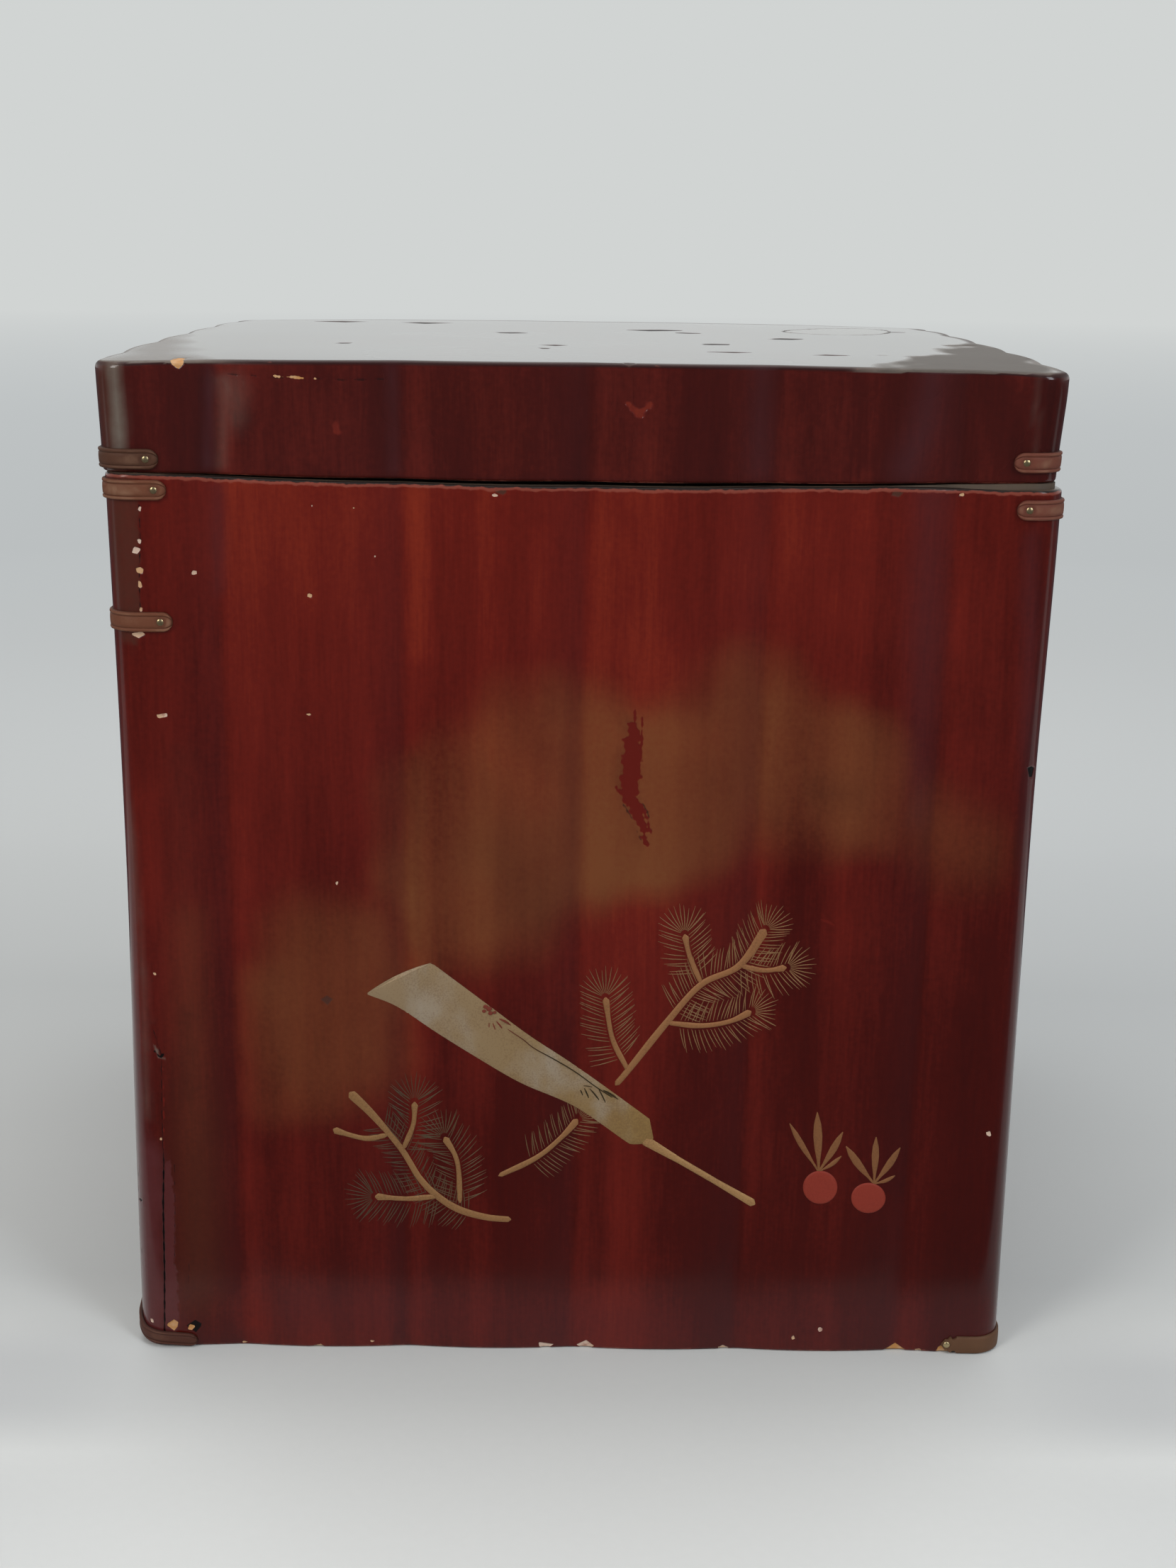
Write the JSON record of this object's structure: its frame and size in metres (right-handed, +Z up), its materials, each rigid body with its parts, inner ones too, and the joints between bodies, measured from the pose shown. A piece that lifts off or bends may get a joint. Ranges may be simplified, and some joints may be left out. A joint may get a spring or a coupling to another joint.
{
  "type": "sewing box",
  "caption": "Tall square lacquered box with fluted sides, corner straps, a lift-off lid on an inner lip and a lift-out divided tray.",
  "frame": {"origin": "middle of the footprint, on the surface that the box stands on", "axes": "+Z up, the decorated front faces -Y, +X to the right of someone facing the front"},
  "size_m": [0.305, 0.305, 0.3385],
  "materials": {
    "red_lacquer": "aged gloss lacquer over a thin ground",
    "black_lacquer": "satin black lacquer",
    "wall_wood": "dark lacquered softwood, worn at the rim and foot",
    "strap_leather": "worn creased leather",
    "nail_brass": "dull domed brass"
  },
  "bodies": {
    "body": {"back_board": "wall_wood", "back_left_foot_strap": "strap_leather", "back_left_rim_strap": "strap_leather", "back_lip": "black_lacquer", "back_right_foot_strap": "strap_leather", "back_right_rim_strap": "strap_leather", "body_covering": "red_lacquer", "body_nails": "nail_brass", "bottom_board": "wall_wood", "front_board": "wall_wood", "front_left_foot_strap": "strap_leather", "front_left_middle_strap": "strap_leather", "front_left_rim_strap": "strap_leather", "front_lip": "black_lacquer", "front_right_foot_strap": "strap_leather", "front_right_rim_strap": "strap_leather", "left_bearer": "black_lacquer", "left_board": "wall_wood", "left_lip": "black_lacquer", "right_bearer": "black_lacquer", "right_board": "wall_wood", "right_lip": "black_lacquer"},
    "lid": {"back_left_lid_strap": "strap_leather", "back_right_lid_strap": "strap_leather", "front_left_lid_strap": "strap_leather", "front_right_lid_strap": "strap_leather", "lid_back_board": "wall_wood", "lid_covering": "red_lacquer", "lid_front_board": "wall_wood", "lid_left_board": "wall_wood", "lid_nails": "nail_brass", "lid_right_board": "wall_wood", "lid_top_board": "wall_wood"},
    "tray": {"tray_back": "black_lacquer", "tray_bottom": "black_lacquer", "tray_front": "black_lacquer", "tray_left": "black_lacquer", "tray_left_divider": "black_lacquer", "tray_long_divider": "black_lacquer", "tray_right": "black_lacquer", "tray_right_divider": "black_lacquer"}
  },
  "joints": [
    {"name": "lid_lift", "type": "slide", "parent": "body", "child": "lid", "axis": [0, 0, 1], "range_m": [0, 0.2]},
    {"name": "tray_lift", "type": "slide", "parent": "body", "child": "tray", "axis": [0, 0, 1], "range_m": [0, 0.1]}
  ],
  "couplings": [
    {"joint": "tray_lift", "follows": "lid_lift", "ratio": 0.5}
  ]
}
